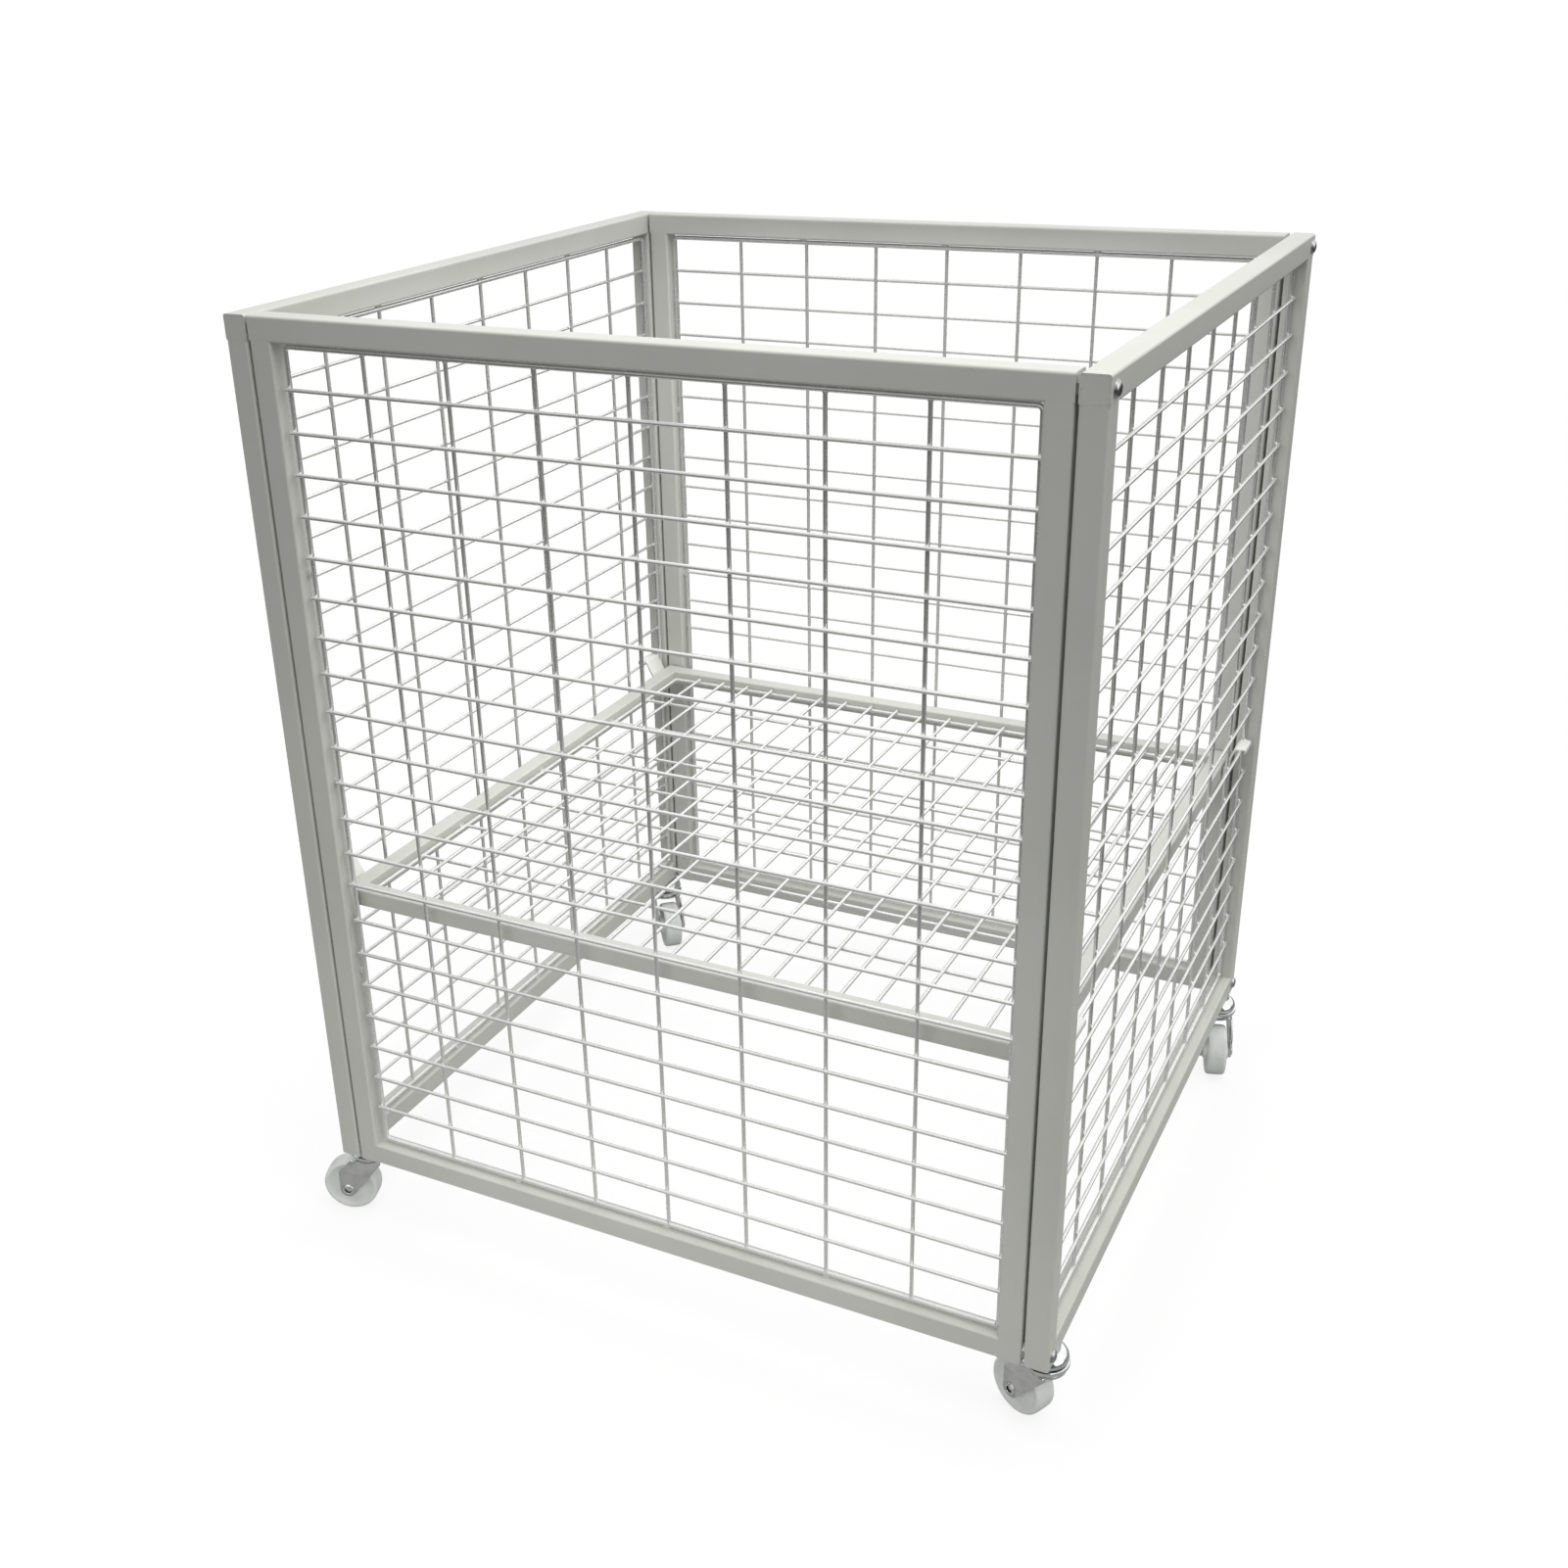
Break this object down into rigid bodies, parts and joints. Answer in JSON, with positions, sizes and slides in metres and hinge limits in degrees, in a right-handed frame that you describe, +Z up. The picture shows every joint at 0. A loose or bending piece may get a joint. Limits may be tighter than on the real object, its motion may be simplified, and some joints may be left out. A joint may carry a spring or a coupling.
{
  "type": "retail dump bin",
  "caption": "Open-topped square bin of grey tube frames and welded wire mesh, with a wire shelf hooked inside and swivel casters.",
  "frame": {"origin": "on the floor, at the middle of the whole outline with the casters as they stand at rest; the tube frame is centred 11 mm to +X of it", "axes": "+Z up, -Y towards the front of the bin, +X to its right seen from the front"},
  "size_m": [0.7008, 0.61, 0.804],
  "materials": {
    "grey_powder_coat": "satin powder coat",
    "bright_steel": "bright chrome plate",
    "zinc_steel": "zinc plate",
    "nylon": "natural white nylon"
  },
  "bodies": {
    "bin": {"back_bottom_rail": "grey_powder_coat", "back_left_stile": "grey_powder_coat", "back_mesh": "grey_powder_coat", "back_right_stile": "grey_powder_coat", "back_top_rail": "grey_powder_coat", "caster_caps": "bright_steel", "caster_stem_nuts": "zinc_steel", "caster_stems": "zinc_steel", "front_bottom_rail": "grey_powder_coat", "front_left_stile": "grey_powder_coat", "front_mesh": "grey_powder_coat", "front_right_stile": "grey_powder_coat", "front_top_rail": "grey_powder_coat", "left_back_upright": "grey_powder_coat", "left_bottom_rail": "grey_powder_coat", "left_front_upright": "grey_powder_coat", "left_mesh": "grey_powder_coat", "left_top_rail": "grey_powder_coat", "panel_bolts": "zinc_steel", "panel_nuts": "zinc_steel", "panel_washers": "zinc_steel", "right_back_upright": "grey_powder_coat", "right_bottom_rail": "grey_powder_coat", "right_front_upright": "grey_powder_coat", "right_mesh": "grey_powder_coat", "right_top_rail": "grey_powder_coat", "shelf_back_rail": "grey_powder_coat", "shelf_front_rail": "grey_powder_coat", "shelf_hooks": "grey_powder_coat", "shelf_left_rail": "grey_powder_coat", "shelf_mesh": "grey_powder_coat", "shelf_right_rail": "grey_powder_coat", "top_rail_end_plates": "grey_powder_coat"},
    "back_left_swivel": {"back_left_caster_axle": "zinc_steel", "back_left_caster_fork": "bright_steel", "back_left_caster_race_cup": "bright_steel"},
    "back_left_wheel": {"back_left_caster_wheel": "nylon"},
    "back_right_swivel": {"back_right_caster_axle": "zinc_steel", "back_right_caster_fork": "bright_steel", "back_right_caster_race_cup": "bright_steel"},
    "back_right_wheel": {"back_right_caster_wheel": "nylon"},
    "front_left_swivel": {"front_left_caster_axle": "zinc_steel", "front_left_caster_fork": "bright_steel", "front_left_caster_race_cup": "bright_steel"},
    "front_left_wheel": {"front_left_caster_wheel": "nylon"},
    "front_right_swivel": {"front_right_caster_axle": "zinc_steel", "front_right_caster_fork": "bright_steel", "front_right_caster_race_cup": "bright_steel"},
    "front_right_wheel": {"front_right_caster_wheel": "nylon"}
  },
  "joints": [
    {"name": "front_left_caster_swivel", "type": "hinge", "parent": "bin", "child": "front_left_swivel", "pos_m": [-0.3045, -0.2775, 0.073], "axis": [0, 0, 1], "continuous": true},
    {"name": "front_left_wheel_spin", "type": "hinge", "parent": "front_left_swivel", "child": "front_left_wheel", "pos_m": [-0.32436, -0.28434, 0.025], "axis": [-0.3256, 0.9455, 0], "continuous": true},
    {"name": "front_right_caster_swivel", "type": "hinge", "parent": "bin", "child": "front_right_swivel", "pos_m": [0.3265, -0.2775, 0.073], "axis": [0, 0, 1], "continuous": true},
    {"name": "front_right_wheel_spin", "type": "hinge", "parent": "front_right_swivel", "child": "front_right_wheel", "pos_m": [0.30762, -0.26829, 0.025], "axis": [0.4384, 0.8988, 0], "continuous": true},
    {"name": "back_left_caster_swivel", "type": "hinge", "parent": "bin", "child": "back_left_swivel", "pos_m": [-0.3045, 0.2775, 0.073], "axis": [0, 0, 1], "continuous": true},
    {"name": "back_left_wheel_spin", "type": "hinge", "parent": "back_left_swivel", "child": "back_left_wheel", "pos_m": [-0.291, 0.26141, 0.025], "axis": [-0.766, -0.6428, 0], "continuous": true},
    {"name": "back_right_caster_swivel", "type": "hinge", "parent": "bin", "child": "back_right_swivel", "pos_m": [0.3265, 0.2775, 0.073], "axis": [0, 0, 1], "continuous": true},
    {"name": "back_right_wheel_spin", "type": "hinge", "parent": "back_right_swivel", "child": "back_right_wheel", "pos_m": [0.33299, 0.25753, 0.025], "axis": [-0.9511, -0.309, 0], "continuous": true}
  ]
}
